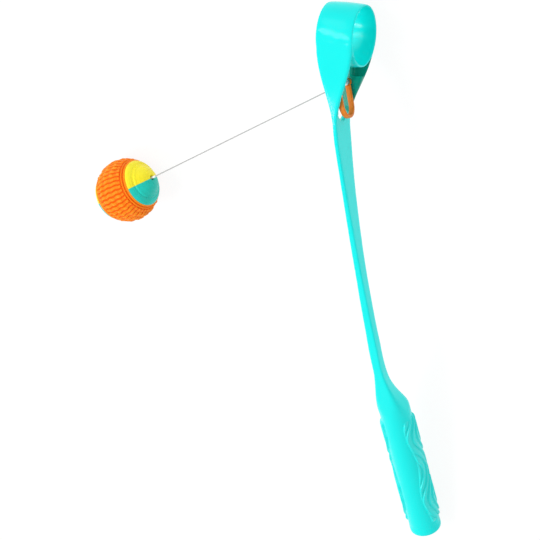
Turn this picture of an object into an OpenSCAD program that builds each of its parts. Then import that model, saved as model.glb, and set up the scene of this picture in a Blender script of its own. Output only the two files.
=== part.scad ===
// Ball launcher stick with a tethered ball, lying on its back.
// +X runs along the ring's axis, +Y towards the head, +Z up.
// The origin is the centre of the ring that the ball seats in.

/* [Ring head] */
// Bore of the ring that the ball seats in
ring_bore = 59; // [54:0.5:64]
// Wall of the ring
ring_wall = 3; // [2.5:0.1:4]
// Width of the ring along its axis
ring_len = 40; // [34:1:44]

/* [Neck] */
// Wall of the neck in front of the slot
neck_wall = 3.2; // [2.5:0.1:4]
// Tilt of the head: its middle line falls this far behind the stick's
head_tilt = 28; // [26:0.5:30]
// Thickness of the web between the ring and the panel
web_t = 6; // [5:0.5:12]
// Depth of the panel's front edge behind the head's middle line
panel_drop = 13.5; // [13.4:0.1:14.2]
// Clear distance from the ring to the panel
recess_gap = 9; // [6:0.5:10]
// Height of the neck's front over the ring's axis
neck_top = 60; // [58:0.5:62]

/* [Arm] */
// Width of the arm where it is thinnest
arm_w_min = 4.6; // [4:0.1:6]
// Width of the arm where it meets the handle
arm_w_max = 10; // [8:0.5:12]
// Distance from the ring's axis to the foot of the arm
arm_len = 353; // [340:1:365]

/* [Handle] */
// Diameter of the bare handle
handle_d = 32; // [28:0.2:34]
// Length of the round handle
handle_len = 160; // [150:1:175]
// Distance from the ring's axis to the butt
butt_y = 590; // [580:1:610]
// Slope of the handle under the horizontal
handle_tilt = 11.3; // [9:0.1:13]
// Wall of the hollow handle
handle_wall = 3; // [2.4:0.1:5]
// Depth of the handle's hollow from the butt
hollow_depth = 140; // [80:1:148]
// Thickness of the end cap's flange
cap_flange = 6; // [5:0.5:9]
// Length of the end cap's plug
cap_plug = 14; // [8:0.5:20]
// Rounding of the butt's edge
butt_round = 3; // [2:0.5:4]
// Clearance of the end cap's plug, on the radius
cap_clear = 0.1; // [0.05:0.01:0.3]

/* [Grip pads] */
// Height of the grip pads over the handle
pad_h = 2.2; // [1:0.1:2.5]
// Start of the pads below the top of the handle
pad_start = 3; // [2:1:12]
// Length of the pads
pad_len = 144; // [110:1:148]
// Mean half-height of a pad round the handle's side
pad_half = 10; // [8:0.2:11]
// Depth of the wave along a pad's edges
pad_wave = 2.4; // [1:0.1:3]
// Number of waves along a pad
pad_waves = 4; // [3:1:6]

/* [Line bail] */
// Distance from the ring's axis to the bail's pin, along the head's middle line
pin_at = 48.2; // [47:0.1:49]
// Diameter of the bail's pin
pin_d = 3; // [2.4:0.1:3.4]
// Depth of the pin's foot in the panel
pin_foot = 4.4; // [3:0.1:5]
// Depth of the pin's seat in the front wall
pin_seat = 1.2; // [0.8:0.1:1.6]
// Distance between the bail's legs, middle to middle
bail_w = 26; // [25:0.1:26.4]
// Height of the bail's middle over the head's middle line
bail_rise = 1.8; // [1.6:0.1:2]
// Distance from the pin to the middle of the bail's bow
bail_drop = 22; // [20:0.5:23]
// Swing of the bail towards +X as it lies
bail_lean = 15; // [0:1:30]
// Thickness of the bail's strap
bail_t = 3; // [2.4:0.1:3.2]
// Width of the bail's strap
bail_strap = 5.5; // [5:0.5:8]
// Diameter of the bail's eyes
bail_eye_d = 8; // [7:0.1:8.4]
// Running clearance of the bail on its pin, on the radius
bail_clear = 0.08; // [0.03:0.01:0.1]
// Clear gap between the bail's bow and the slot
slot_gap = 1; // [0.6:0.1:1.4]

/* [Ball] */
// Diameter of the ball over its tyre
ball_d = 65; // [62:0.5:67]
// Width of the tyre
tyre_w = 42; // [38:1:46]
// Diameter of the core under the tyre
core_d = 48.6; // [46:0.2:50]
// Length of the core from pole to pole
core_len = 74; // [70:0.5:78]
// Wall of the two half cores
core_wall = 3.2; // [2.4:0.1:4]
// Wall of the two half cores at their poles
pole_wall = 4.2; // [3.4:0.1:5]
// Diameter of the hole at each pole
pole_hole = 5; // [4:0.1:6]
// Number of bars in the tread
tread_bars = 40; // [30:1:48]
// Width of the grooves between the bars
groove_w = 1.3; // [0.8:0.1:1.8]
// Depth of the grooves
groove_depth = 1.4; // [0.8:0.1:2]
// Plain lip at each edge of the tyre
tyre_lip = 2.6; // [1.5:0.1:4]
// Turn of the ball on its cord
ball_roll = 73; // [0:1:360]

/* [Tether] */
// Diameter of the cord
cord_d = 1.2; // [0.8:0.1:1.6]
// Depth of the cord's tie behind the head's middle line
tie_drop = 7.3; // [7:0.1:7.6]
// Diameter of the collar that ties the cord to the pin
eye_d = 7; // [6:0.1:8]
// Height of that collar
eye_h = 3.8; // [3.2:0.1:4]
// Diameter of the sleeve on the cord at the ball
sleeve_d = 2.2; // [2:0.1:3]
// Length of that sleeve
sleeve_len = 6; // [4:0.5:8]
// Diameter of the stop bead inside the ball
bead_d = 8; // [6.5:0.1:9]
// Outer diameter of the washer inside the ball
washer_d = 11; // [10:0.1:12]
// Thickness of the washer
washer_t = 1; // [0.6:0.1:1.4]
// Hole of the washer
washer_hole = 2.2; // [2:0.1:3]
// Clearance of the sleeve on the cord, on the radius
sleeve_clear = 0.05; // [0.02:0.01:0.2]
// Clearance round the washer in the core
washer_clear = 0.2; // [0.1:0.05:0.4]
// Gap between the bead and the washer
bead_gap = 0.3; // [0.2:0.05:0.5]

/* [Hidden] */
$fn = 96;
teal = [0.05, 0.90, 0.87];
deep_teal = [0.10, 0.74, 0.69];
orange = [0.95, 0.47, 0.07];
yellow = [0.97, 0.93, 0.13];
steel = [0.72, 0.73, 0.75];
cord_grey = [0.72, 0.71, 0.70];

// Ring and floor
ring_r = ring_bore / 2 + ring_wall;
floor_z = -ring_r;
eps = 0.2;

// Handle: the butt's lower edge rests on the floor
handle_r = handle_d / 2;
hollow_r = handle_r - handle_wall;
butt = [-butt_y, floor_z + handle_r * cos(handle_tilt)];
axis_dir = [-cos(handle_tilt), -sin(handle_tilt)];
axis_up = [-sin(handle_tilt), cos(handle_tilt)];
handle_top = butt - handle_len * axis_dir;

// Side view of the neck and arm: points are [y, z]
front_angle = 19;
back_angle = 45;
front_start = (ring_r - eps) * [sin(front_angle), cos(front_angle)];
back_start = (ring_r - eps) * [-sin(back_angle), -cos(back_angle)];
neck_end = [-105, neck_top - 1];
back_fold = [-58, 9.5];
back_end = [-120, 28.5];
arm_front_foot = [-arm_len, 44.4];
arm_back_foot = [-arm_len, 32.5];
front_neck = [front_start, [-30, 45], [-62, neck_top], neck_end];
front_arm = [neck_end, [-190, 57], [-280, 52], arm_front_foot];
back_neck = [back_fold, [-74, 24.5], [-92, 23], back_end];
back_arm = [back_end, [-190, 40], [-270, 41], arm_back_foot];
// Plan view: [distance along the head's middle line, half width] of the neck,
// then [y, half width] of the arm
plan_neck = [[0, ring_len / 2], [-40, 0.6 * ring_len], [-66, 0], [-98, arm_w_min / 2]];
plan_arm = [[-95, arm_w_min / 2], [-190, arm_w_min / 2 + 0.5], [-280, arm_w_max / 2 - 1.4],
    [-arm_len, arm_w_max / 2]];

// Line bail, its pin and the slot that they lie in, along and over the head's middle line
pin_r = pin_d / 2;
bail_r = bail_w / 2;
bow_at = pin_at + bail_drop;
slot_r = bail_r + bail_t / 2 + slot_gap;

// Ball: its poles lie along the cord, its tyre on the floor
ball_r = ball_d / 2;
core_r = core_d / 2;
ball_centre = [-270, -208, floor_z + ball_r];
tie_point = concat([0], from_head([-pin_at, -tie_drop]));
tie_dir = tie_point - ball_centre;
tie_azimuth = atan2(tie_dir[1], tie_dir[0]);
tie_polar = acos(tie_dir[2] / norm(tie_dir));
pole_in = core_len / 2 - pole_wall;
bead_at = pole_in - washer_t - bead_gap - bead_d / 2;

// Route of the cord from the bead in the ball to the collar on the pin
cord_route = [[-245, -193, 1.5], [-240, -190, 1.8], [-230, -184, 2.4], [-220, -178, 3.0], [-210, -172, 3.6],
    [-200, -166, 4.2], [-190, -160, 4.8], [-180, -154, 5.4], [-170, -148, 6.0], [-160, -142, 6.6],
    [-150, -136, 7.2], [-140, -130, 7.8], [-130, -124, 8.4], [-120, -118, 9.0], [-110, -112, 9.6],
    [-100, -106, 10.2], [-90, -100, 10.8], [-80, -94, 11.4], [-70, -88, 12.0], [-60, -82, 12.6],
    [-50, -76, 13.2], [-40, -70, 13.8], [-30, -64, 14.4], [-20, -58, 15.0], [-10, -52, 15.6],
    [-2.5, -47.5, 16.05]];
cord_sides = 8;

// Cubic curve through four control points, and a chain of its points
function bez(p, t) = pow(1 - t, 3) * p[0] + 3 * t * pow(1 - t, 2) * p[1] + 3 * t * t * (1 - t) * p[2]
    + pow(t, 3) * p[3];
function curve(p, n) = [for (i = [0:n]) bez(p, i / n)];
function reversed(list) = [for (i = [len(list) - 1:-1:0]) list[i]];
function unit(v) = v / norm(v);
// Side-view point [y, z] as [along, over] the head's middle line, and back
function to_head(p) = [p[0] * cos(head_tilt) - p[1] * sin(head_tilt),
    p[0] * sin(head_tilt) + p[1] * cos(head_tilt)];
function from_head(p) = [p[0] * cos(head_tilt) + p[1] * sin(head_tilt),
    p[1] * cos(head_tilt) - p[0] * sin(head_tilt)];
// Height of a chain of points at one place along it
function height_at(points, place) = lookup(place, points);

// Right-hand normal of a cubic curve in the plane
function bez_normal(p, t) = let (d = unit(bez(p, t + 0.001) - bez(p, t - 0.001))) [d[1], -d[0]];

// Turns a profile drawn in [y, z] so that it is extruded along X, centred
module along_x(length) {
    rotate([90, 0, 90])
        translate([0, 0, -length / 2])
            linear_extrude(length)
                children();
}

// Tilts a shape drawn along the head's middle line
module on_head() {
    rotate([-head_tilt, 0, 0])
        children();
}

// Sets a shape whose axis is +Z on the handle's axis, from its top towards the butt
module on_handle() {
    translate([0, handle_top[0], handle_top[1]])
        rotate([90 + handle_tilt, 0, 0])
            children();
}

// Sets a shape whose axis is +Z on the ball's poles
module on_ball() {
    translate(ball_centre)
        rotate([0, tie_polar, tie_azimuth])
            rotate([0, 0, ball_roll])
                children();
}

// Side outline of the neck and arm
module side_outline() {
    polygon(concat([[0, 0]], curve(front_neck, 14), curve(front_arm, 10),
        reversed(curve(back_arm, 10)), reversed(curve(back_neck, 8)), [back_start]));
}

// Outline of a mirrored plan curve
module plan_outline(half) {
    polygon(concat([for (p = half) [p[1], p[0]]], [for (p = reversed(half)) [-p[1], p[0]]]));
}

// Side outline of the slot: front wall, bow of the bail, then the panel's edge
module slot_outline() {
    wall_side = [for (t = [0.12:0.06:0.48])
        to_head(bez(front_neck, t) - neck_wall * bez_normal(front_neck, t))];
    bow = [for (a = [0:10:180]) [-bow_at - slot_r * sin(a), bail_rise + slot_r * cos(a)]];
    polygon(concat(wall_side, bow, [[slot_r - bow_at, -panel_drop], [0, -panel_drop]]));
}

// Side outline of the recess between the ring and the panel, open to the slot beside the web
module recess_outline() {
    panel_at = -ring_r - recess_gap;
    wall = [to_head(back_fold) + [0, neck_wall], to_head(back_start) + [0, neck_wall]];
    polygon([[0, 1 - panel_drop], [panel_at, 1 - panel_drop],
        [panel_at, height_at(wall, panel_at)], [-ring_r / 2, height_at(wall, -ring_r / 2)]]);
}

// One section of the flare: a rounded box between a front and a back point
function section(front, back, half_w, power, count) =
    let (mid = (front + back) / 2, arm = (front - back) / 2)
    [for (i = [0:count - 1])
        let (a = 360 * i / count, c = cos(a), s = sin(a),
            u = sign(c) * pow(abs(c), 2 / power), v = sign(s) * pow(abs(s), 2 / power))
        [half_w * v, mid[0] + arm[0] * u, mid[1] + arm[1] * u]];

// Skin over rings of points, closed at both ends
module skin(rings) {
    n = len(rings[0]);
    last = (len(rings) - 1) * n;
    sides = [for (r = [0:len(rings) - 2], i = [0:n - 1])
        let (a = r * n + i, b = r * n + (i + 1) % n)
        each [[a, b, b + n], [a, b + n, a + n]]];
    ends = [for (i = [1:n - 2]) each [[0, i + 1, i], [last, last + i, last + i + 1]]];
    polyhedron([for (ring = rings) each ring], concat(sides, ends));
}

// The arm swells into the round handle, mostly at its back
module handle_flare() {
    sink = 8;
    lead = 10;
    front_reach = 25;
    back_reach = 9;
    flare_r = handle_r - 0.1;
    foot_w = arm_w_max / 2 - 0.3;
    foot = -arm_len + lead;
    front_end = handle_top + flare_r * axis_up;
    rear_end = handle_top - flare_r * axis_up;
    front = [[foot, height_at(curve(front_arm, 10), foot)], arm_front_foot - [15, 1.1],
        front_end - front_reach * axis_dir, front_end];
    back = [[foot, height_at(curve(back_arm, 10), foot)], arm_back_foot - [45, 1.5],
        rear_end - back_reach * axis_dir, rear_end];
    steps = 12;
    count = 32;
    flare = [for (k = [0:steps])
        let (t = k / steps, late = max(0, (t - 0.25) / 0.75), swell = late * late * (3 - 2 * late))
        section(bez(front, t), bez(back, t), foot_w + swell * (flare_r - foot_w), 6 - 4 * swell, count)];
    sunk = sink * axis_dir;
    skin(concat(flare, [section(front_end + sunk, rear_end + sunk, flare_r, 2, count)]));
}

// Space of the bail's pin, from the panel to the front wall
module pin_shape() {
    front = [for (p = curve(front_neck, 14)) to_head(p)];
    top = height_at(front, -pin_at) - neck_wall + pin_seat;
    foot = -panel_drop - pin_foot;
    on_head()
        translate([0, -pin_at, foot])
            cylinder(h = top - foot, r = pin_r);
}

// Ring, neck, arm and handle in one moulding
module launcher_stick() {
    neck_over = 27;
    color(teal)
    difference() {
        union() {
            intersection() {
                along_x(ring_len)
                    side_outline();
                union() {
                    on_head()
                        linear_extrude(2 * neck_top, center = true)
                            plan_outline(concat([[ring_r, ring_len / 2]], curve(plan_neck, 14),
                                [plan_neck[3] - [neck_over, 0]]));
                    linear_extrude(4 * neck_top, center = true)
                        plan_outline(curve(plan_arm, 10));
                }
            }
            rotate([0, 90, 0])
                cylinder(h = ring_len, r = ring_r, center = true);
            handle_flare();
            on_handle()
                cylinder(h = handle_len - cap_flange, r = handle_r);
        }
        rotate([0, 90, 0])
            cylinder(h = ring_len + 2, r = ring_bore / 2, center = true);
        difference() {
            on_head() {
                along_x(ring_len + 2)
                    slot_outline();
                for (side = [-1, 1])
                    translate([side * (web_t / 2 + ring_len / 2), 0, 0])
                        along_x(ring_len)
                            recess_outline();
            }
            rotate([0, 90, 0])
                cylinder(h = ring_len + 4, r = ring_r, center = true);
        }
        pin_shape();
        on_handle()
            translate([0, 0, handle_len - hollow_depth])
                cylinder(h = hollow_depth + 1, r = hollow_r);
    }
}

// Plug that closes the hollow handle
module handle_end_cap() {
    plug_r = hollow_r - cap_clear;
    color(teal)
    on_handle()
        translate([0, 0, handle_len - cap_flange])
            rotate_extrude()
                polygon(concat([[0, -cap_plug], [plug_r, -cap_plug], [plug_r, 0], [handle_r, 0]],
                    [for (a = [0:15:90]) [handle_r - butt_round + butt_round * cos(a),
                        cap_flange - butt_round + butt_round * sin(a)]],
                    [[0, cap_flange]]));
}

// Soft pad with waved edges along one side of the handle
module grip_pad(side) {
    steps = 48;
    edge = [for (k = [0:steps])
        let (t = k / steps, ends = min(1, 6 * min(t, 1 - t) + 0.15))
        [pad_start + pad_len * t, ends * (pad_half + pad_wave * sin(360 * pad_waves * t))]];
    color(teal)
    on_handle()
        intersection() {
            difference() {
                cylinder(h = handle_len, r = handle_r + pad_h);
                translate([0, 0, -1])
                    cylinder(h = handle_len + 2, r = handle_r);
            }
            rotate([90, 0, 90])
                translate([0, 0, side > 0 ? 0 : -handle_d])
                    linear_extrude(handle_d)
                        polygon(concat([for (p = edge) [p[1], p[0]]],
                            [for (p = reversed(edge)) [-p[1] + 2 * pad_wave * sin(360 * pad_waves
                                * (p[0] - pad_start) / pad_len), p[0]]]));
        }
}

module grip_pad_left() {
    grip_pad(-1);
}

module grip_pad_right() {
    grip_pad(1);
}

// Steel pin across the slot
module bail_pin() {
    color(steel)
    pin_shape();
}

// Strap bent to a U, with an eye on the pin at each end
module line_bail() {
    color(orange)
    on_head()
        translate([0, -pin_at, bail_rise])
            rotate([0, 0, bail_lean])
                difference() {
                    union() {
                        for (end = [-1, 1])
                            translate([0, 0, end * bail_r - bail_t / 2]) {
                                cylinder(h = bail_t, d = bail_eye_d);
                                translate([-bail_strap / 2, -bail_drop, 0])
                                    cube([bail_strap, bail_drop, bail_t]);
                            }
                        translate([0, -bail_drop, 0])
                            bail_bow();
                    }
                    cylinder(h = 2 * bail_w, r = pin_r + bail_clear, center = true);
                }
}

// Half ring at the foot of the bail
module bail_bow() {
    rotate([0, 90, 0])
        difference() {
            cylinder(h = bail_strap, r = bail_r + bail_t / 2, center = true);
            cylinder(h = bail_strap + 2, r = bail_r - bail_t / 2, center = true);
            translate([-bail_w, 0, -bail_strap])
                cube([2 * bail_w, 2 * bail_w, 2 * bail_strap]);
        }
}

// Collar on the pin that the cord is tied to
module cord_collar() {
    color(steel)
    on_head()
        translate([0, -pin_at, -tie_drop - eye_h / 2])
            difference() {
                cylinder(h = eye_h, d = eye_d);
                translate([0, 0, -1])
                    cylinder(h = eye_h + 2, r = pin_r);
            }
}

// Thin cord, drawn straight from the ball to the pin
module tether_cord() {
    dir = unit(cord_route[len(cord_route) - 1] - cord_route[0]);
    side = unit(cross([0, 0, 1], dir));
    up = cross(dir, side);
    color(cord_grey)
    skin([for (p = cord_route)
        [for (i = [0:cord_sides - 1])
            let (a = 360 * i / cord_sides)
            p + cord_d / 2 * (cos(a) * side - sin(a) * up)]]);
}

// White sleeve on the cord where it enters the ball
module cord_sleeve() {
    color("white")
    on_ball()
        translate([0, 0, core_len / 2 - sleeve_len / 3])
            difference() {
                cylinder(h = sleeve_len, d = sleeve_d);
                translate([0, 0, -1])
                    cylinder(h = sleeve_len + 2, d = cord_d + 2 * sleeve_clear);
            }
}

// Bead that stops the cord inside the ball
module stop_bead() {
    color("white")
    on_ball()
        translate([0, 0, bead_at])
            sphere(d = bead_d);
}

// Washer that the bead pulls against
module ball_washer() {
    color(steel)
    on_ball()
        translate([0, 0, pole_in - washer_t])
            difference() {
                cylinder(h = washer_t, d = washer_d);
                translate([0, 0, -1])
                    cylinder(h = washer_t + 2, d = washer_hole);
            }
}

// Half section of the core: drum under the tyre and a stepped dome over each pole
function dome(end, half) = [[half, 0], [half, tyre_w / 2 + 0.2], [half - 0.8, tyre_w / 2 + 1.4],
    [half - 1.9, tyre_w / 2 + 2.8], [half - 3.9, tyre_w / 2 + 4.3], [half - 5.8, tyre_w / 2 + 5],
    [half - 6.6, tyre_w / 2 + 6.3], [half - 8, tyre_w / 2 + 7.8], [half - 10.3, end - 5.9],
    [half - 13.5, end - 3.4], [half - 17.5, end - 1.4], [half - 20.4, end - 0.4], [0, end]];

// One half of the hollow core, split through both poles
module ball_core(side) {
    inner_end = pole_in;
    inner_r = core_r - core_wall;
    seat_r = washer_d / 2 + washer_clear;
    outer = dome(core_len / 2, core_r);
    on_ball()
        difference() {
            rotate_extrude()
                polygon(concat(outer, [for (p = reversed(outer)) [p[0], -p[1]]]));
            rotate_extrude()
                polygon([[0, -inner_end], [seat_r, -inner_end], [inner_r - 3, -tyre_w / 2 - 2],
                    [inner_r, 1 - tyre_w / 2], [inner_r, tyre_w / 2 - 1], [inner_r - 3, tyre_w / 2 + 2],
                    [seat_r, inner_end], [0, inner_end]]);
            cylinder(h = core_len + 2, d = pole_hole, center = true);
            translate([side > 0 ? -core_d : 0, -core_d, -core_len])
                cube([core_d, 2 * core_d, 2 * core_len]);
        }
}

module ball_core_yellow() {
    color(yellow)
    ball_core(1);
}

module ball_core_teal() {
    color(deep_teal)
    ball_core(-1);
}

// Rubber tyre that clamps the two half cores, with bars across its tread
module ball_tyre() {
    edge_angle = asin(tyre_w / 2 / ball_r);
    groove_angle = asin((tyre_w / 2 - tyre_lip) / ball_r);
    color(orange)
    on_ball()
        difference() {
            rotate_extrude()
                polygon(concat(
                    [for (k = [-8:8]) ball_r * [cos(edge_angle * k / 8), sin(edge_angle * k / 8)]],
                    [[core_r, tyre_w / 2], [core_r, -tyre_w / 2]]));
            for (i = [0:tread_bars - 1])
                rotate([0, 0, 360 * i / tread_bars])
                    rotate([90, 0, 0])
                        translate([0, 0, -groove_w / 2])
                            linear_extrude(groove_w)
                                polygon(concat(
                                    [for (k = [-6:6]) (ball_r - groove_depth)
                                        * [cos(groove_angle * k / 6), sin(groove_angle * k / 6)]],
                                    [for (k = [6:-1:-6]) (ball_r + 2)
                                        * [cos(groove_angle * k / 6), sin(groove_angle * k / 6)]]));
        }
}

launcher_stick();
handle_end_cap();
grip_pad_left();
grip_pad_right();
bail_pin();
line_bail();
cord_collar();
tether_cord();
cord_sleeve();
stop_bead();
ball_washer();
ball_core_yellow();
ball_core_teal();
ball_tyre();
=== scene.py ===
import math

import bpy
import numpy as np
from mathutils import Matrix, Vector


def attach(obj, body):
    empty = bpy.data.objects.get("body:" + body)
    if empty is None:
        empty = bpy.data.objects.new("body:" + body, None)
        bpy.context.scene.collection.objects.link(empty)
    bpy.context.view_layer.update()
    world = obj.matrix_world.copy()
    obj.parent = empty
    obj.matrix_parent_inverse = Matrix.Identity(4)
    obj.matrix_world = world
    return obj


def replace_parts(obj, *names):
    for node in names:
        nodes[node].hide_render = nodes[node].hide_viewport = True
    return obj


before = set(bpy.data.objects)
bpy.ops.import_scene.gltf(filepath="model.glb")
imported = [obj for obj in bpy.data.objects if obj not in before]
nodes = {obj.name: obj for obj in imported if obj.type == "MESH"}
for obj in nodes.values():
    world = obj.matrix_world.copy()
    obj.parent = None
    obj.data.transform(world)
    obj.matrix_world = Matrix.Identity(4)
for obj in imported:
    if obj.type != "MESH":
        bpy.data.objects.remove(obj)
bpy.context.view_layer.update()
scene = bpy.context.scene
mm = 0.001
print("frame loaded")


# camera: image right and the way back to the camera, in the part's frame
photoView = dict(
    right=(0.916, -0.130, -0.3786), back=(0.390, 0.498, 0.774),
    ringPixel=(346.1, 34.3),  # where the ring's centre lies in the photograph
    framePixels=540, mmPerPixel=1.0, distance=16.0, sensor=36.0)


def makeCamera(cfg):
    right = Vector(cfg["right"]).normalized()
    back = Vector(cfg["back"]).normalized()
    up = back.cross(right).normalized()
    right = up.cross(back)
    half = cfg["framePixels"] / 2
    fromMiddle = right * (half - cfg["ringPixel"][0]) - up * (half - cfg["ringPixel"][1])
    aim = fromMiddle * cfg["mmPerPixel"] * mm
    data = bpy.data.cameras.new("photoCamera")
    data.sensor_width = cfg["sensor"]
    data.lens = cfg["sensor"] * cfg["distance"] / (cfg["framePixels"] * cfg["mmPerPixel"] * mm)
    data.clip_end = 4 * cfg["distance"]
    cam = bpy.data.objects.new("photoCamera", data)
    turn = Matrix((right, up, back)).transposed().to_4x4()
    cam.matrix_world = Matrix.Translation(aim + back * cfg["distance"]) @ turn
    scene.collection.objects.link(cam)
    scene.camera = cam


makeCamera(photoView)
print("camera placed")


# a wire is one output socket; maths on wires adds Math nodes
class Wire:
    def __init__(self, paint, socket):
        self.paint = paint
        self.socket = socket

    def __add__(self, other):
        return self.paint.maths("ADD", self, other)

    def __radd__(self, other):
        return self.paint.maths("ADD", other, self)

    def __sub__(self, other):
        return self.paint.maths("SUBTRACT", self, other)

    def __rsub__(self, other):
        return self.paint.maths("SUBTRACT", other, self)

    def __mul__(self, other):
        return self.paint.maths("MULTIPLY", self, other)

    def __rmul__(self, other):
        return self.paint.maths("MULTIPLY", other, self)


# the nodes of one material or world: any node comes from node(), with settings first and then sockets
class Paint:
    def __init__(self, owner):
        owner.use_nodes = True
        self.owner = owner
        self.tree = owner.node_tree

    def plug(self, socket, value):
        if isinstance(value, Wire):
            value = value.socket
        if isinstance(value, bpy.types.NodeSocket):
            self.tree.links.new(value, socket)
        else:
            socket.default_value = value

    def node(self, kind, settings=None, sockets=None):
        made = self.tree.nodes.new(kind)
        for key, value in (settings or {}).items():
            setattr(made, key, value)
        for key, value in (sockets or {}).items():
            self.plug(made.inputs[key], value)
        return made

    def maths(self, operation, a, b):
        return Wire(self, self.node("ShaderNodeMath", {"operation": operation}, {0: a, 1: b}).outputs[0])

    def place(self):
        found = self.tree.nodes.get("Texture Coordinate") or self.node("ShaderNodeTexCoord")
        return found.outputs["Object"]

    def noise(self, scale, detail=2.0, roughness=0.5, vector=None):
        made = self.node("ShaderNodeTexNoise", None, {"Vector": vector or self.place(), "Scale": scale,
                         "Detail": detail, "Roughness": roughness})
        return Wire(self, made.outputs[0])

    def attribute(self, name):
        return Wire(self, self.node("ShaderNodeAttribute", {"attribute_name": name}).outputs["Fac"])

    def ramp(self, wire, low, high):
        made = self.node("ShaderNodeMapRange", {"interpolation_type": "SMOOTHSTEP"},
                         {"Value": wire, "From Min": low, "From Max": high})
        return Wire(self, made.outputs[0])

    def clouds(self, scale):
        # the slow drift of tint in a moulding, 0 to 1
        return self.ramp(self.noise(scale, 3.0), 0.35, 0.7)

    def blend(self, factor, a, b):
        made = self.node("ShaderNodeMix", {"data_type": "RGBA"}, {0: factor, 6: a, 7: b})
        return made.outputs[2]

    def bump(self, height, strength, distance):
        sockets = {"Height": height, "Strength": strength, "Distance": distance}
        return self.node("ShaderNodeBump", None, sockets).outputs[0]

    def seenRays(self):
        # 1 for camera, mirror and glass rays, 0 for the rays that carry light
        path = self.node("ShaderNodeLightPath")
        seen = path.outputs["Is Camera Ray"]
        for ray in ("Is Glossy Ray", "Is Transmission Ray"):
            seen = self.maths("MAXIMUM", seen, path.outputs[ray])
        return seen

    def mixed(self, factor, lit, seen, output):
        mix = self.node("ShaderNodeMixShader", None, {0: factor, 1: lit.outputs[0], 2: seen.outputs[0]})
        self.plug(self.tree.nodes[output].inputs["Surface"], mix.outputs[0])

    def finish(self, **sockets):
        shader = self.tree.nodes["Principled BSDF"]
        for key, value in sockets.items():
            self.plug(shader.inputs[key.replace("_", " ")], value)
        return self.owner


def newPaint(name):
    return Paint(bpy.data.materials.new(name))


def rgb(r, g, b):
    return (r, g, b, 1.0)


# glossy moulded plastic: faint flow clouds in the tint, fine handling haze in the gloss,
# and painted shade, a deeper green, where the panel attribute marks the neck's recessed panel
glossTeal = dict(low=rgb(0.003, 0.80, 0.765), high=rgb(0.005, 0.85, 0.82), panel=rgb(0.002, 0.31, 0.225),
                 clouds=9.0, cloudShare=0.6, haze=140.0, roughness=0.09, hazeRoughness=0.06, gloss=0.2)


def tealPlastic(cfg):
    p = newPaint("tealPlastic")
    haze = p.noise(cfg["haze"], 4.0, 0.6)
    tint = p.blend(p.clouds(cfg["clouds"]) * cfg["cloudShare"], cfg["low"], cfg["high"])
    # painted shade: a deeper green over the neck's recessed panel and pocket
    tint = p.blend(p.attribute("panel"), tint, cfg["panel"])
    return p.finish(Base_Color=tint, Roughness=cfg["roughness"] + haze * cfg["hazeRoughness"],
                    Normal=p.bump(haze, 0.03, 0.0004), Specular_IOR_Level=cfg["gloss"], IOR=1.46)


# soft overmoulded grip: the same tint, satin, with a fine stipple
satinTeal = dict(low=rgb(0.003, 0.78, 0.745), high=rgb(0.005, 0.82, 0.79), clouds=14.0, cloudShare=0.5,
                 stipple=900.0, roughness=0.32, stippleRoughness=0.12)


def tealGrip(cfg):
    p = newPaint("tealGrip")
    stipple = p.noise(cfg["stipple"])
    tint = p.blend(p.clouds(cfg["clouds"]) * cfg["cloudShare"], cfg["low"], cfg["high"])
    return p.finish(Base_Color=tint, Roughness=cfg["roughness"] + stipple * cfg["stippleRoughness"],
                    Normal=p.bump(stipple, 0.12, 0.0002), IOR=1.45)


# orange nylon strap: a fine mottle in the tint and a satin face
strapOrange = dict(low=rgb(0.66, 0.165, 0.004), high=rgb(0.78, 0.225, 0.008), mottle=320.0,
                   roughness=0.33, mottleRoughness=0.15, gloss=0.3)


def orangeStrap(cfg):
    p = newPaint("orangeStrap")
    mottle = p.noise(cfg["mottle"], 3.0, 0.6)
    tint = p.blend(p.ramp(mottle, 0.3, 0.75), cfg["low"], cfg["high"])
    return p.finish(Base_Color=tint, Roughness=cfg["roughness"] + mottle * cfg["mottleRoughness"],
                    Normal=p.bump(mottle, 0.08, 0.0002), Specular_IOR_Level=cfg["gloss"])


# tyre rubber: painted shade, a deeper orange, in the grooves; pale and dry on the bars' crowns
tyreOrange = dict(groove=rgb(0.86, 0.125, 0.001), crown=rgb(0.95, 0.255, 0.003), dust=rgb(0.97, 0.39, 0.03),
                  dustShare=0.5, grain=420.0, roughness=0.45, grainRoughness=0.2, gloss=0.2)


def orangeRubber(cfg):
    p = newPaint("orangeRubber")
    crown = p.attribute("crown")
    grain = p.noise(cfg["grain"], 4.0, 0.65)
    # painted shade: deeper orange where the crown attribute falls into the grooves
    tint = p.blend(p.ramp(crown, 0.05, 0.75), cfg["groove"], cfg["crown"])
    tint = p.blend(p.ramp(grain * crown, 0.36, 0.6) * cfg["dustShare"], tint, cfg["dust"])
    return p.finish(Base_Color=tint, Roughness=cfg["roughness"] + grain * cfg["grainRoughness"],
                    Normal=p.bump(grain, 0.25, 0.0004), Specular_IOR_Level=cfg["gloss"])


# satin moulded half core in one tint, with slight flow clouds
coreFinish = dict(yellow=(rgb(0.90, 0.76, 0.014), rgb(0.95, 0.84, 0.022)),
                  teal=(rgb(0.004, 0.52, 0.425), rgb(0.005, 0.61, 0.52)),
                  clouds=60.0, grain=700.0, roughness=0.36, grainRoughness=0.1, gloss=0.3)


def corePlastic(name, tints, cfg):
    p = newPaint(name)
    grain = p.noise(cfg["grain"])
    return p.finish(Base_Color=p.blend(p.clouds(cfg["clouds"]), *tints),
                    Roughness=cfg["roughness"] + grain * cfg["grainRoughness"],
                    Normal=p.bump(grain, 0.06, 0.0002), Specular_IOR_Level=cfg["gloss"])


# plain steel with fine lines across the pin
steelFinish = dict(low=rgb(0.50, 0.51, 0.53), high=rgb(0.64, 0.65, 0.66), lines=(60.0, 60.0, 2500.0),
                   roughness=0.26, lineRoughness=0.14)


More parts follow.
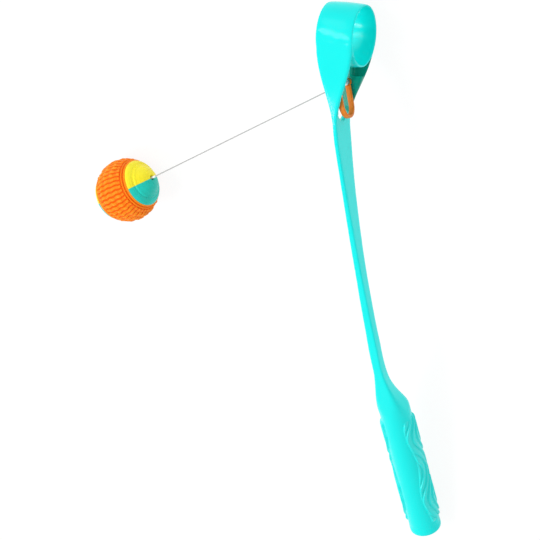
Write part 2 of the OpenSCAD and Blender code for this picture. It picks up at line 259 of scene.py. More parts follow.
def turnedSteel(cfg):
    p = newPaint("turnedSteel")
    stretch = p.node("ShaderNodeMapping", None, {"Vector": p.place(), "Scale": cfg["lines"]})
    lines = p.noise(1.0, vector=stretch.outputs[0])
    return p.finish(Base_Color=p.blend(lines, cfg["low"], cfg["high"]), Metallic=1.0,
                    Roughness=cfg["roughness"] + lines * cfg["lineRoughness"])


# white nylon of the sleeve and the bead
nylonFinish = dict(low=rgb(0.80, 0.80, 0.79), high=rgb(0.90, 0.90, 0.89), grain=800.0,
                   roughness=0.4, grainRoughness=0.15)


def whiteNylon(cfg):
    p = newPaint("whiteNylon")
    grain = p.noise(cfg["grain"], 3.0)
    return p.finish(Base_Color=p.blend(grain, cfg["low"], cfg["high"]),
                    Roughness=cfg["roughness"] + grain * cfg["grainRoughness"],
                    Normal=p.bump(grain, 0.1, 0.0001))


# thin grey braid: two sets of strands crossing along the cord's own UV
braidFinish = dict(low=rgb(0.36, 0.355, 0.35), high=rgb(0.52, 0.515, 0.51),
                   roughness=0.6, strandRoughness=0.1)


def greyBraid(cfg):
    p = newPaint("greyBraid")
    uv = p.node("ShaderNodeUVMap", {"uv_map": "cordUV"})
    weave = p.node("ShaderNodeTexChecker", None, {"Vector": uv.outputs[0], "Scale": 1.0})
    strand = Wire(p, weave.outputs["Fac"])
    return p.finish(Base_Color=p.blend(strand, cfg["low"], cfg["high"]),
                    Roughness=cfg["roughness"] + strand * cfg["strandRoughness"],
                    Normal=p.bump(strand, 0.3, 0.0001))


paints = dict(
    stick=tealPlastic(glossTeal), grip=tealGrip(satinTeal), strap=orangeStrap(strapOrange),
    rubber=orangeRubber(tyreOrange), yellow=corePlastic("yellowCore", coreFinish["yellow"], coreFinish),
    teal=corePlastic("tealCore", coreFinish["teal"], coreFinish), steel=turnedSteel(steelFinish),
    white=whiteNylon(nylonFinish), braid=greyBraid(braidFinish))
print("materials painted")


# shape tools: curves, grids and sections, all in millimetres until the mesh is made
def bez(points, t):
    # cubic curve: (1-t)^3 a + 3t(1-t)^2 b + 3t^2(1-t) c + t^3 d
    a, b, c, d = [np.asarray(p, float) for p in points]
    t = np.asarray(t, float)[:, None]
    return (1 - t) ** 3 * a + 3 * t * (1 - t) ** 2 * b + 3 * t ** 2 * (1 - t) * c + t ** 3 * d


def smooth(low, high, x):
    # smoothstep from 0 at low to 1 at high
    t = np.clip((x - low) / (high - low), 0, 1)
    return t * t * (3 - 2 * t)


def gridFaces(rows, columns, wrapRows, wrapColumns):
    # one quad for each cell of a rows by columns grid of points
    r = np.arange(rows if wrapRows else rows - 1)[:, None]
    c = np.arange(columns if wrapColumns else columns - 1)[None, :]
    r2, c2 = (r + 1) % rows, (c + 1) % columns
    quads = np.stack([r * columns + c, r * columns + c2, r2 * columns + c2, r2 * columns + c], -1)
    return quads.reshape(-1, 4)


def addObject(name, mesh, material, body):
    # smooth faces, one material and, for a finished piece, the body that it rides
    mesh.polygons.foreach_set("use_smooth", np.full(len(mesh.polygons), True))
    mesh.materials.clear()
    mesh.materials.append(material)
    made = bpy.data.objects.new(name, mesh)
    scene.collection.objects.link(made)
    if body:
        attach(made, body)
    return made


def meshObject(name, points, faces, material, body=None, slot=None):
    mesh = bpy.data.meshes.new(name)
    mesh.from_pydata((np.asarray(points) * mm).tolist(), [], faces)
    mesh.validate()
    mesh.update()
    return addObject(name, mesh, material, body)


def meshPoints(mesh):
    # every vertex of a mesh, in metres
    co = np.empty(len(mesh.vertices) * 3)
    mesh.vertices.foreach_get("co", co)
    return co.reshape(-1, 3)


def turnOutwards(mesh):
    # closed skins keep a positive volume: if the signed volume is negative, every face is flipped
    mesh.calc_loop_triangles()
    tri = np.empty(len(mesh.loop_triangles) * 3, np.int32)
    mesh.loop_triangles.foreach_get("vertices", tri)
    a, b, c = meshPoints(mesh)[tri.reshape(-1, 3)].transpose(1, 0, 2)
    if np.einsum("ij,ij->i", a, np.cross(b, c)).sum() < 0:
        mesh.flip_normals()


def setAttribute(mesh, name, values):
    layer = mesh.attributes.new(name, "FLOAT", "POINT")
    layer.data.foreach_set("value", np.asarray(values, np.float32).ravel())


def tube(sections):
    # closed skin over a stack of closed sections, with a flat end at each side
    rows, columns = sections.shape[:2]
    faces = gridFaces(rows, columns, False, True).tolist()
    faces.append(list(range(columns))[::-1])
    faces.append([(rows - 1) * columns + i for i in range(columns)])
    return sections.reshape(-1, 3), faces


def roundBox(middle, side, rise, power, count):
    # superellipse section: middle + side*sgn(sin)|sin|^(2/n) + rise*sgn(cos)|cos|^(2/n)
    a = np.linspace(0, 2 * np.pi, count, endpoint=False)
    u = np.sign(np.cos(a)) * np.abs(np.cos(a)) ** (2 / power[:, None])
    v = np.sign(np.sin(a)) * np.abs(np.sin(a)) ** (2 / power[:, None])
    return middle[:, None] + rise[:, None] * u[..., None] + side[:, None] * v[..., None]


def inPlane(points):
    # a point [y, z] of the side view as [0, y, z]
    points = np.asarray(points, float)
    return np.concatenate([np.zeros(points.shape[:-1] + (1,)), points], -1)


def alongX(lengths):
    # lengths as vectors along X
    out = np.zeros((len(lengths), 3))
    out[:, 0] = lengths
    return out


def unit(vectors):
    return vectors / np.linalg.norm(vectors, axis=1)[:, None]


def runLength(points):
    # length along a chain of points, from its first point to each
    return np.concatenate([[0], np.cumsum(np.linalg.norm(np.diff(points, axis=0), axis=1))])


def joined(parts):
    # several skins as one list of points and faces
    points, faces, start = [], [], 0
    for part, cells in parts:
        points.append(part)
        faces += [[i + start for i in cell] for cell in cells]
        start += len(part)
    return np.concatenate(points), faces


# stick: sizes and curves repeat the solid's
stick = dict(
    ringBore=59.0, ringWall=3.0, ringLen=40.0, ringCrown=0.8, neckWall=3.2, neckTop=60.0, headTilt=28.0,
    webT=6.0, panelDrop=13.5, recessGap=9.0, armLen=353.0, armWide=10.0, armThin=4.6,
    handleR=16.0, handleLen=160.0, buttY=590.0, tilt=11.3, capFlange=6.0, frontAngle=19.0, backAngle=45.0,
    pinAt=48.2, bailRise=1.8, bailDrop=22.0, bailW=26.0, bailT=3.0, slotGap=1.0,
    wallLap=0.2, curvePoints=160, boreSides=180, cutReach=30.0, voxel=0.9, relax=5, relaxShare=0.5)
ringR = stick["ringBore"] / 2 + stick["ringWall"]
tiltRad = math.radians(stick["tilt"])
butt = np.array([-stick["buttY"], -ringR + stick["handleR"] * math.cos(tiltRad)])
axisDir = np.array([-math.cos(tiltRad), -math.sin(tiltRad)])
axisUp = np.array([-math.sin(tiltRad), math.cos(tiltRad)])
handleTop = butt - stick["handleLen"] * axisDir
# the neck's walls start a little inside the ring; then each line's four curve points as [y, z]
frontA, backA = math.radians(stick["frontAngle"]), math.radians(stick["backAngle"])
frontStart = (ringR - stick["wallLap"]) * np.array([math.sin(frontA), math.cos(frontA)])
backStart = -(ringR - stick["wallLap"]) * np.array([math.sin(backA), math.cos(backA)])
neckEnd, backFold, backEnd = (-105, stick["neckTop"] - 1), (-58, 9.5), (-120, 28.5)
frontFoot, backFoot = (-stick["armLen"], 44.4), (-stick["armLen"], 32.5)
frontNeck = [frontStart, (-30, 45), (-62, stick["neckTop"]), neckEnd]
frontArm = [neckEnd, (-190, 57), (-280, 52), frontFoot]
backNeck = [backFold, (-74, 24.5), (-92, 23), backEnd]
backArm = [backEnd, (-190, 40), (-270, 41), backFoot]
# half widths as [y, half width]
planNeck = [(0, stick["ringLen"] / 2), (-40, 0.6 * stick["ringLen"]), (-66, 0), (-98, stick["armThin"] / 2)]
planArm = [(-95, stick["armThin"] / 2), (-190, stick["armThin"] / 2 + 0.5),
           (-280, stick["armWide"] / 2 - 1.4), (-stick["armLen"], stick["armWide"] / 2)]
headCos, headSin = math.cos(math.radians(stick["headTilt"])), math.sin(math.radians(stick["headTilt"]))


def toHead(points):
    # side-view [y, z] as [along, over] the head's middle line
    y, z = np.moveaxis(np.asarray(points, float), -1, 0)
    return np.stack([y * headCos - z * headSin, y * headSin + z * headCos], -1)


def fromHead(points):
    # [along, over] the head's middle line as side-view [y, z]
    u, n = np.moveaxis(np.asarray(points, float), -1, 0)
    return np.stack([u * headCos + n * headSin, n * headCos - u * headSin], -1)


def curveAt(points, place):
    # height of a chain of points at a given place along it
    order = np.argsort(points[:, 0])
    return np.interp(place, points[order, 0], points[order, 1])


def chain(*curves):
    # cubic curves as one row of points
    t = np.linspace(0, 1, stick["curvePoints"])
    return np.concatenate([bez(c, t) for c in curves])


def prism(outline, low, high):
    # a side-view outline carried straight along X
    left, right = inPlane(outline), inPlane(outline)
    left[:, 0], right[:, 0] = low, high
    return tube(np.stack([left, right]))


def circle(radius, count):
    # radius*(sin a, cos a) for a full turn
    a = np.linspace(0, 2 * np.pi, count, endpoint=False)
    return radius * np.stack([np.sin(a), np.cos(a)], -1)


band = dict(rows=240, columns=120, square=9.0)


def ringBand():
    # a full circle as a closed band, its outer face crowned: radius - crown*(x/half width)^2
    inner, outer, half = stick["ringBore"] / 2, ringR, stick["ringLen"] / 2
    rows, columns = band["rows"], band["columns"]
    out = circle(1.0, rows)
    side = alongX(np.full(rows, half))
    cells = roundBox(inPlane(out * (inner + outer) / 2), side, inPlane(out * (outer - inner) / 2),
                     np.full(rows, band["square"]), columns)
    face = np.linalg.norm(cells[..., 1:], axis=-1, keepdims=True)
    shrink = stick["ringCrown"] * (cells[..., :1] / half) ** 2 * (face > (inner + outer) / 2)
    cells[..., 1:] *= 1 - shrink / face
    return cells.reshape(-1, 3), gridFaces(rows, columns, True, True).tolist()


neck = dict(start=-8.0, end=-124.0, rows=150, columns=160, square=14.0,
            webIn=0.9, webLap=2.0, webNear=10.0, webFar=6.0)


def neckWeb():
    # thin plate in the middle plane that ties the ring to the panel
    high, half = -stick["panelDrop"], stick["webT"] / 2
    near, far = -ringR * neck["webIn"], -ringR - stick["recessGap"] - neck["webLap"]
    lowNear, lowFar = high - neck["webNear"], high - neck["webFar"]
    return prism(fromHead(np.array([(near, high), (far, high), (far, lowFar), (near, lowNear)])), -half, half)


def backLine():
    # the neck's and the arm's back, from the ring on
    return np.concatenate([[backStart], chain(backNeck, backArm)])


def neckBody():
    # stack of sections across the head's middle line, from the ring to the arm
    u = np.linspace(neck["start"], neck["end"], neck["rows"])
    front = curveAt(toHead(chain(frontNeck, frontArm)), u)
    back = curveAt(toHead(backLine()), u)
    half = np.minimum(curveAt(chain(planNeck), np.maximum(u, planNeck[-1][0])), stick["ringLen"] / 2)
    top, low = inPlane(fromHead(np.stack([u, front], -1))), inPlane(fromHead(np.stack([u, back], -1)))
    square = np.full(len(u), neck["square"])
    return tube(roundBox((top + low) / 2, alongX(half), (top - low) / 2, square, neck["columns"]))


slot = dict(wallFrom=0.1, wallTo=0.48, wallPoints=12, ahead=0.01, bowPoints=40)


def slotCut():
    # side view of the slot: along the front wall's inside, round the bail's bow and back over the panel
    t = np.linspace(slot["wallFrom"], slot["wallTo"], slot["wallPoints"])
    line = bez(frontNeck, t)
    heading = unit(bez(frontNeck, t + slot["ahead"]) - line)
    wall = toHead(line - stick["neckWall"] * np.stack([heading[:, 1], -heading[:, 0]], -1))
    bowAt = stick["pinAt"] + stick["bailDrop"]
    r = (stick["bailW"] + stick["bailT"]) / 2 + stick["slotGap"]
    a = np.linspace(0, np.pi, slot["bowPoints"])
    bow = np.stack([-bowAt - r * np.sin(a), stick["bailRise"] + r * np.cos(a)], -1)
    edge = np.array([(r - bowAt, -stick["panelDrop"]), (0, -stick["panelDrop"])])
    return prism(fromHead(np.concatenate([wall, bow, edge])), -stick["cutReach"], stick["cutReach"])


recess = dict(lap=1.0, reach=40.0)


def recessCut(side):
    # side view of the pocket between the ring, the panel and the back wall, on one side of the web
    panelAt = -ringR - stick["recessGap"]
    top = recess["lap"] - stick["panelDrop"]
    wall = toHead(np.array([backFold, backStart])) + (0, stick["neckWall"])
    outline = np.array([(0, top), (panelAt, top), (panelAt, curveAt(wall, panelAt)),
                        (-ringR / 2, curveAt(wall, -ringR / 2))])
    return prism(fromHead(outline), *sorted((side * stick["webT"] / 2, side * recess["reach"])))


# arm: the flare to the handle leaves each face with a pull and comes in along the handle with an ease
arm = dict(start=-99.0, flareRun=10.0, frontPull=(15, 1.1), frontEase=25.0, backPull=(45, 1.5),
           backEase=9.0, swellFrom=0.25, square=10.0, round=2.0, rounding=0.8,
           armRows=170, flareRows=80, handleRows=120, columns=128)


def armAndHandle():
    # stack of sections from the neck to the butt: front and back point, half width and squareness
    y = np.linspace(arm["start"], -stick["armLen"] + arm["flareRun"], arm["armRows"])
    armFront = np.stack([y, curveAt(chain(frontNeck, frontArm), y)], -1)
    armBack = np.stack([y, curveAt(chain(backNeck, backArm), y)], -1)
    flareR = stick["handleR"]
    frontEnd, rearEnd = handleTop + flareR * axisUp, handleTop - flareR * axisUp
    flareFront = [armFront[-1] - (1, 0), np.array(frontFoot) - arm["frontPull"],
                  frontEnd - arm["frontEase"] * axisDir, frontEnd]
    flareBack = [armBack[-1] - (1, 0), np.array(backFoot) - arm["backPull"],
                 rearEnd - arm["backEase"] * axisDir, rearEnd]
    t = np.linspace(0, 1, arm["flareRows"])
    swell = smooth(arm["swellFrom"], 1.0, t)
    along = np.linspace(1, stick["handleLen"] - stick["capFlange"], arm["handleRows"])[:, None]
    front = np.concatenate([armFront, bez(flareFront, t), frontEnd + along * axisDir])
    back = np.concatenate([armBack, bez(flareBack, t), rearEnd + along * axisDir])
    armHalf = curveAt(chain(planArm), y)
    half = np.concatenate([armHalf, armHalf[-1] + swell * (flareR - armHalf[-1]),
                           np.full(len(along), flareR)])
    square = np.concatenate([np.full(len(y), arm["square"]),
                             arm["square"] - (arm["square"] - arm["round"]) * swell ** arm["rounding"],
                             np.full(len(along), arm["round"])])
    middle, rise = inPlane((front + back) / 2), inPlane((front - back) / 2)
    return tube(roundBox(middle, alongX(half), rise, square, arm["columns"]))


def evaluated(made):
    # the mesh that an object's modifiers give, with the object itself taken away
    mesh = bpy.data.meshes.new_from_object(made.evaluated_get(bpy.context.evaluated_depsgraph_get()))
    bpy.data.objects.remove(made)
    return mesh


def carved(body, cuts):
    # one closed skin minus others
    made = meshObject("carving", *body, paints["stick"])
    turnOutwards(made.data)
    tools = []
    for cut in cuts:
        tool = meshObject("cutter", *cut, paints["stick"])
        turnOutwards(tool.data)
        tools.append(tool)
        less = made.modifiers.new("less", "BOOLEAN")
        less.operation = "DIFFERENCE"
        less.solver = "EXACT"
        less.object = tool
    mesh = evaluated(made)
    for tool in tools:
        bpy.data.objects.remove(tool)
    return meshPoints(mesh) / mm, [list(face.vertices) for face in mesh.polygons]


# painted shade on the neck's recessed panel: each pair is where the mask starts and is full, along the head
# or off a surface
panel = dict(slotEnd=(-84, -76), offRing=(0.4, 1.0), under=-15.0, offBack=(1.0, 1.8), rim=(0.6, 3.6))


def panelMask(mesh):
    # painted shade mask: 1 on the neck's panel and in its recess, from the ring to the slot's end, up to the
    # back wall's rim
    u, n = np.moveaxis(toHead(meshPoints(mesh)[:, 1:] / mm), -1, 0)
    back = curveAt(toHead(backLine()), u)
    ring = np.hypot(u, n) - ringR
    run = smooth(*panel["slotEnd"], u) * smooth(*panel["offRing"], ring) * (u < panel["under"])
    return run * smooth(*panel["offBack"], n - back) * (1 - smooth(*panel["rim"], n + stick["panelDrop"]))


def makeStick():
    reach = stick["cutReach"]
    bore = prism(circle(ringR - stick["ringWall"] / 2, stick["boreSides"]), -reach, reach)
    neckSkin = carved(neckBody(), [slotCut(), recessCut(-1), recessCut(1), bore])
    skins = joined([ringBand(), neckSkin, neckWeb(), armAndHandle()])
    raw = meshObject("stickParts", *skins, paints["stick"])
    fuse = raw.modifiers.new("fuse", "REMESH")
    fuse.mode = "VOXEL"
    fuse.voxel_size = stick["voxel"] * mm
    relax = raw.modifiers.new("relax", "SMOOTH")
    relax.factor = stick["relaxShare"]
    relax.iterations = stick["relax"]
    mesh = evaluated(raw)
    mesh.name = "stickMoulding"
    # painted shade for the neck's recessed panel, read by the plastic's tint
    setAttribute(mesh, "panel", panelMask(mesh))
    made = addObject("stickMoulding", mesh, paints["stick"], "stick")
    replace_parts(made, "launcher_stick")
    print("stick fused:", len(mesh.polygons), "faces")


makeStick()


def onHandle(radius, angle, along):
    # cylinder coordinates of the handle: angle from +X towards the front, along from its top to the butt
    up = inPlane(axisUp)
    run = inPlane(axisDir)
    across = np.array([1.0, 0.0, 0.0])
    spoke = np.cos(angle)[..., None] * across + np.sin(angle)[..., None] * up
    return inPlane(handleTop) + radius[..., None] * spoke + along[..., None] * run


# end cap: the profile turned round the handle's axis
endCap = dict(edge=3.0, lap=3.0, proud=0.05, bevel=(0.3, 0.6), axis=0.01, edgePoints=16, turns=120)


def makeEndCap():
    a = np.linspace(0, np.pi / 2, endCap["edgePoints"])
    r, edge, axis = stick["handleR"] + endCap["proud"], endCap["edge"], endCap["axis"]
    inset, slope = endCap["bevel"]
    end = stick["handleLen"]
    start = end - stick["capFlange"] - endCap["lap"]  # laps over the rounded end of the moulding
    radius = np.concatenate([[axis, r - inset, r], r - edge + edge * np.cos(a), [axis]])
    along = np.concatenate([[start, start, start + slope], end - edge + edge * np.sin(a), [end]])
    turn = np.linspace(0, 2 * np.pi, endCap["turns"], endpoint=False)
    points = onHandle(radius[:, None] + 0 * turn, turn + 0 * radius[:, None], along[:, None] + 0 * turn)
    made = meshObject("buttCap", *tube(points), paints["stick"], "stick", "teal_plastic")
    turnOutwards(made.data)
    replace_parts(made, "handle_end_cap")


makeEndCap()


# grip pads: S-shaped flow ridges along each side of the handle, each with a slow back and a steep front
pads = dict(start=3.0, length=144.0, height=2.1, floor=0.55, spread=0.98, period=85.0, peak=74.0, sway=7.5,
            pitch=6.6, back=(-0.1, 0.8), front=(0.84, 1.0), edge=12.2, edgeSway=2.6, edgeLag=0.7,
            edgeSlope=1.8, fadeIn=9.0, fadeOut=6.0, sunk=0.6, depth=1.0, rows=440, columns=110)


def makePad(name, side):
    s = np.linspace(0, pads["length"], pads["rows"])[:, None]
    q = np.linspace(-1, 1, pads["columns"])[None, :]
    w = q * pads["spread"] * stick["handleR"]
    # a ridge is a line of equal w + sway*cos(turn); across the ridges the height is a saw
    turn = 2 * np.pi * (s + pads["start"] - pads["peak"]) / pads["period"]
    beat = (w + pads["sway"] * np.cos(turn)) / pads["pitch"]
    saw = beat - np.floor(beat)
    rise = smooth(*pads["back"], saw) * (1 - smooth(*pads["front"], saw))
    # the pad's outline sways against the ridges, so that they run out in tips
    edge = pads["edge"] - pads["edgeSway"] * np.cos(turn + pads["edgeLag"] * np.sign(w))
    ends = smooth(0, pads["fadeIn"], s) * (1 - smooth(pads["length"] - pads["fadeOut"], pads["length"], s))
    mask = (1 - smooth(edge - pads["edgeSlope"], edge, np.abs(w))) * ends
    relief = -pads["sunk"] + mask * (pads["sunk"] + pads["floor"] + (pads["height"] - pads["floor"]) * rise)
    angle = pads["spread"] * q + np.zeros_like(s)
    if side < 0:
        angle = np.pi - angle
    along = pads["start"] + s + np.zeros_like(q)
    outer = onHandle(stick["handleR"] + relief, angle, along)
    inner = onHandle(np.full_like(relief, stick["handleR"] - pads["depth"]), angle, along)
    shell = np.concatenate([outer, inner[:, ::-1]], 1)
    made = meshObject(name, *tube(shell), paints["grip"], "stick", "teal_grip")
    turnOutwards(made.data)
    return made


for padName, padNode, padSide in (("gripLeft", "grip_pad_left", -1), ("gripRight", "grip_pad_right", 1)):
    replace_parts(makePad(padName, padSide), padNode)
print("handle dressed")


# line bail: a strap bent to a U with an eye at each end, leaning out of the slot
bail = dict(lean=15.0, strap=5.5, eye=8.0, hole=3.16, square=5.0, eyeLap=0.8, bowLap=0.5,
            legPoints=24, bowPoints=90, columns=40, eyeTurns=64, eyeColumns=24)


def onBail(points):
    # [across, along, over] the bail as a place in the part's frame: leant on its pin, tilted with the head
    lean = math.radians(bail["lean"])
    x, v, n = np.moveaxis(points, -1, 0)
    across = x * math.cos(lean) - v * math.sin(lean)
    along = x * math.sin(lean) + v * math.cos(lean) - stick["pinAt"]
    side = fromHead(np.stack([along, n + stick["bailRise"]], -1))
    return np.concatenate([across[..., None], side], -1)


def eyeRing(height):
    # a flat ring round the pin: round-edged section carried round the hole
    inner, outer = bail["hole"] / 2, bail["eye"] / 2
    turns, columns = bail["eyeTurns"], bail["eyeColumns"]
    a = np.linspace(0, 2 * np.pi, turns, endpoint=False)
    spoke = np.stack([np.cos(a), np.sin(a), np.zeros(turns)], -1)
    middle = spoke * (inner + outer) / 2 + (0, 0, height)
    rise = np.tile([0, 0, stick["bailT"] / 2], (turns, 1))
    cells = roundBox(middle, spoke * (outer - inner) / 2, rise, np.full(turns, bail["square"]), columns)
    return onBail(cells).reshape(-1, 3), gridFaces(turns, columns, True, True).tolist()


def makeBail():
    # the strap's section carried down one leg, round the bow and up the other leg
    r, drop = stick["bailW"] / 2, stick["bailDrop"]
    a = np.linspace(math.pi, 0, bail["bowPoints"])
    bow = np.stack([-drop - r * np.sin(a), r * np.cos(a)], -1)
    leg = np.linspace(bail["eyeLap"] - bail["eye"] / 2, -drop + bail["bowLap"], bail["legPoints"])
    first = np.stack([leg, np.full(len(leg), -r)], -1)
    path = np.concatenate([first, bow, first[::-1] + (0, 2 * r)])
    heading = unit(np.gradient(path, axis=0))
    rise = inPlane(np.stack([-heading[:, 1], heading[:, 0]], -1) * stick["bailT"] / 2)
    side = alongX(np.full(len(path), bail["strap"] / 2))
    square = np.full(len(path), bail["square"])
    strap = tube(onBail(roundBox(inPlane(path), side, rise, square, bail["columns"])))
    points, faces = joined([strap, eyeRing(-r), eyeRing(r)])
    made = meshObject("lineBail", points, faces, paints["strap"], "bail", "orange_plastic")
    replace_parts(made, "line_bail")


makeBail()
print("bail bent")


# ball: its poles lie along the cord
ball = dict(centre=(-270.0, -208.0, 0.0), tie=(0.0, -46.0, 16.2), roll=73.0, radius=32.5, halfTyre=21.0)
pole = np.array(ball["tie"]) - np.array(ball["centre"])
pole /= np.linalg.norm(pole)
azimuth, polar = math.atan2(pole[1], pole[0]), math.acos(pole[2])
flatEast = np.array([math.cos(azimuth), math.sin(azimuth), 0.0])
easting = math.cos(polar) * flatEast - math.sin(polar) * np.array([0.0, 0.0, 1.0])
northing = np.cross(pole, easting)


def onBall(radius, turn, along):
    # cylinder coordinates of the ball: turn from the yellow half's middle, along towards the tied pole
    turn = turn + math.radians(ball["roll"])
    spoke = np.cos(turn)[..., None] * easting + np.sin(turn)[..., None] * northing
    return np.array(ball["centre"]) + radius[..., None] * spoke + along[..., None] * pole


core = dict(radius=24.3, half=37.0, hole=2.5, bore=3.6, gap=0.3, finePoints=300, soften=5, turns=91)

# tyre: bars, the lumps along each bar, a weaker mottle, and the thin rings at the edge
tyre = dict(bars=40, barEdge=(0.24, 0.47), groove=2.1, weave=0.07, weaveTurns=5,
            lumps=8.8, lumpMean=0.73, lumpSwing=0.22, lumpShift=0.9, lumpBeat=1.7,
            mottle=0.12, mottleLength=3.7, mottleBeat=2.3, fadeBeat=1.3, fadeSlant=0.8,
            lip=4.6, lipSlope=0.5, ringHeight=0.8, ringAt=2.9, ringWide=0.75, rim=(0.9, 1.7),
            under=0.05, overlap=1.0, turns=900, across=104)


def makeTyre():
    turns, across = tyre["turns"], tyre["across"]
    phi = np.linspace(0, 2 * np.pi, turns, endpoint=False)[:, None]
    lat = np.linspace(-1, 1, across)[None, :] * math.asin(ball["halfTyre"] / ball["radius"])
    a = ball["radius"] * np.sin(lat)
    wave = 2 * np.pi * a / tyre["lumps"]
    # bars straight across the tyre; each rises and falls in lumps along its length
    beat = phi * tyre["bars"] / (2 * np.pi) + tyre["weave"] * np.sin(wave + tyre["weaveTurns"] * phi)
    row = np.floor(beat)
    bar = 1 - smooth(*tyre["barEdge"], np.abs(beat - row - 0.5))
    shift = tyre["lumpShift"] * np.sin(tyre["lumpBeat"] * row)
    lump = tyre["lumpMean"] + tyre["lumpSwing"] * np.cos(wave + shift)
    mottle = tyre["mottle"] * np.sin(2 * np.pi * a / tyre["mottleLength"] + tyre["mottleBeat"] * row)
    mottle = mottle * np.sin(tyre["fadeBeat"] * row + tyre["fadeSlant"] * a)
    # the edge carries two thin rings with a groove between them
    inward = ball["halfTyre"] - np.abs(a)
    tread = smooth(tyre["lip"] - tyre["lipSlope"], tyre["lip"] + tyre["lipSlope"], inward)
    rings = np.exp(-((inward - tyre["ringAt"]) / tyre["ringWide"]) ** 2) + 1 - smooth(*tyre["rim"], inward)
    crown = np.clip(np.maximum(tread * bar * (lump + mottle), tyre["ringHeight"] * rings), 0, 1)
    radius = ball["radius"] - tyre["groove"] * (1 - crown) - tyre["under"]
    outer = onBall(radius * np.cos(lat), phi + np.zeros_like(lat), radius * np.sin(lat))
    innerAlong = np.broadcast_to(np.array([ball["halfTyre"], -ball["halfTyre"]])[None, :], (turns, 2))
    innerRadius = np.full((turns, 2), core["radius"] - tyre["overlap"])
    inner = onBall(innerRadius, phi + np.zeros((1, 2)), innerAlong)
    shell = np.concatenate([outer, inner], 1)
    faces = gridFaces(turns, across + 2, True, True).tolist()
    made = meshObject("ballTyre", shell.reshape(-1, 3), faces, paints["rubber"], "ball", "orange_rubber")
    setAttribute(made.data, "crown", np.concatenate([crown, np.zeros((turns, 2))], 1))
    turnOutwards(made.data)
    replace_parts(made, "ball_tyre")


def domeProfile():
    # radius and height of the core: drum, shoulder, raised ring and dome, then down into the hole
    end, r, edge, hole = core["half"], core["radius"], ball["halfTyre"], core["hole"]
    drum = r - core["gap"]
    marks = np.array([
        (drum, 0), (drum, edge - 1), (drum, edge + 0.2), (r - 0.9, edge + 1.4), (r - 2.0, edge + 2.7),
        (r - 4.0, edge + 4.1), (r - 5.6, edge + 4.5), (r - 6.2, edge + 4.8), (r - 6.5, edge + 6.1),
        (r - 7.2, edge + 6.9), (r - 8.4, edge + 7.6), (r - 10.5, end - 6.0), (r - 13.7, end - 3.5),
        (r - 17.6, end - 1.5), (hole + 0.9, end - 0.4), (hole, end - 1.0), (hole, end - 7.0)])
    run = runLength(marks)
    fine = np.linspace(0, run[-1], core["finePoints"])
    line = np.stack([np.interp(fine, run, marks[:, 0]), np.interp(fine, run, marks[:, 1])], -1)
    # a short moving average rounds the corners
    kernel = np.hanning(core["soften"])[1:-1]
    kernel /= kernel.sum()
    padded = np.pad(line, ((1, 1), (0, 0)), "edge")
    return np.stack([np.convolve(padded[:, k], kernel, "valid") for k in (0, 1)], -1)


def makeCore(name, node, paint, slotName, start):
    # the profile of both poles and the bore, turned half round the ball's axis
    half = domeProfile()
    line = np.concatenate([half[::-1] * (1, -1), half[1:]])
    bore = np.array([(core["bore"], line[-1, 1]), (core["bore"], line[0, 1])])
    line = np.concatenate([line, bore])
    turn = np.linspace(start, start + np.pi, core["turns"])[:, None]
    points = onBall(line[None, :, 0] + 0 * turn, turn + 0 * line[None, :, 0], line[None, :, 1] + 0 * turn)
    made = meshObject(name, *tube(points), paint, "ball", slotName)
    turnOutwards(made.data)
    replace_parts(made, node)


makeTyre()
makeCore("coreYellow", "ball_core_yellow", paints["yellow"], "yellow_plastic", -np.pi / 2)
makeCore("coreTeal", "ball_core_teal", paints["teal"], "teal_core", np.pi / 2)
print("ball made")


# cord: straight from the collar on the pin to the bead in the ball; its points repeat the solid's
tether = dict(diameter=1.2, lay="taut", exit=(-2.5, -47.5, 16.05), step=(-10.0, -6.0, -0.6),
              firstStep=0.75, steps=24.25, sides=12, strandSides=3, strandLength=1.6)


def cordRoute():
    # exit + t*step, for t = 0, then whole steps from the first, then the end
    t = np.concatenate([[0], np.arange(tether["firstStep"], tether["steps"]), [tether["steps"]]])
    return np.round(np.array(tether["exit"]) + t[:, None] * np.array(tether["step"]), 3)


def makeCord():
    # a round section carried along the route
    line, sides = cordRoute(), tether["sides"]
    heading = (line[-1] - line[0]) / np.linalg.norm(line[-1] - line[0])
    side = np.cross([0, 0, 1], heading)
    side /= np.linalg.norm(side)
    up = np.cross(heading, side)
    a = np.linspace(0, 2 * np.pi, sides, endpoint=False)
    ring = (np.cos(a)[:, None] * side + np.sin(a)[:, None] * up) * tether["diameter"] / 2
    made = meshObject("tetherCord", *tube(line[:, None] + ring), paints["braid"], "stick", "cord")
    turnOutwards(made.data)
    # UV: strands round the cord and along it, in strand widths
    uv = made.data.uv_layers.new(name="cordUV")
    loops = np.empty(len(made.data.loops), np.int32)
    made.data.loops.foreach_get("vertex_index", loops)
    alongLine = runLength(line)
    around = loops % sides / tether["strandSides"]
    along = alongLine[loops // sides] / tether["strandLength"]
    uv.data.foreach_set("uv", np.stack([around + along, around - along], -1).astype(np.float32).ravel())
    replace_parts(made, "tether_cord")


makeCord()
for nodeName, paint in (("bail_pin", "steel"), ("cord_collar", "steel"), ("ball_washer", "steel"),
                        ("cord_sleeve", "white"), ("stop_bead", "white")):
    mesh = nodes[nodeName].data
    mesh.materials.clear()
    mesh.materials.append(paints[paint])
print("cord strung")


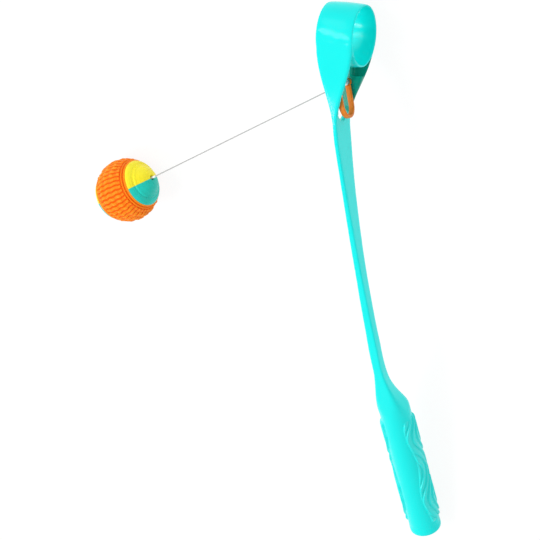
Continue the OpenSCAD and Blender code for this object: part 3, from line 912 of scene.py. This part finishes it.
# stage: a pale floor that stays near white and keeps a soft shadow, three soft lights and a pale sky
stage = dict(floorZ=-32.6, size=30.0, floorTint=rgb(0.92, 0.92, 0.92), floorRoughness=0.9, whiteShare=0.88,
             glow=1.03, sky=0.74, skySeen=1.0)
lights = (
    dict(name="keyBox", at=(-2.1, -0.6, 3.7), aim=(-0.1, -0.25, 0.0), size=(1.1, 1.1), power=60.0),
    dict(name="frontBox", at=(-1.24, 1.40, 2.60), aim=(0.0, -0.2, 0.0), size=(0.6, 2.0), power=22.0),
    dict(name="headBox", at=(-1.24, 2.60, 1.20), aim=(0.0, -0.2, 0.0), size=(0.6, 2.0), power=5.0))


def makeFloor():
    s, z = stage["size"], stage["floorZ"] * mm
    mesh = bpy.data.meshes.new("paleFloor")
    mesh.from_pydata([(-s, -s, z), (s, -s, z), (s, s, z), (-s, s, z)], [], [(0, 1, 2, 3)])
    p = newPaint("paleFloor")
    mesh.materials.append(p.finish(Base_Color=stage["floorTint"], Roughness=stage["floorRoughness"]))
    glow = p.node("ShaderNodeEmission", None, {"Strength": stage["glow"]})
    shade = p.tree.nodes["Principled BSDF"]
    p.mixed(p.seenRays() * stage["whiteShare"], shade, glow, "Material Output")
    floor = bpy.data.objects.new("paleFloor", mesh)
    scene.collection.objects.link(floor)


def makeSky():
    # white to the camera and to mirror and glass rays, pale to the rays that carry light
    scene.world = bpy.data.worlds.new("paleSky")
    p = Paint(scene.world)
    light = p.tree.nodes["Background"]
    p.plug(light.inputs["Color"], rgb(1, 1, 1))
    p.plug(light.inputs["Strength"], stage["sky"])
    seen = p.node("ShaderNodeBackground", None, {"Color": rgb(1, 1, 1), "Strength": stage["skySeen"]})
    p.mixed(p.seenRays(), light, seen, "World Output")


def makeLights():
    for cfg in lights:
        data = bpy.data.lights.new(cfg["name"], "AREA")
        data.shape = "RECTANGLE"
        data.size, data.size_y = cfg["size"]
        data.energy = cfg["power"]
        lamp = bpy.data.objects.new(cfg["name"], data)
        lamp.location = cfg["at"]
        lamp.rotation_euler = (Vector(cfg["aim"]) - Vector(cfg["at"])).to_track_quat("-Z", "Y").to_euler()
        scene.collection.objects.link(lamp)


makeFloor()
makeSky()
makeLights()
scene.view_settings.view_transform = "Standard"
print("stage lit")
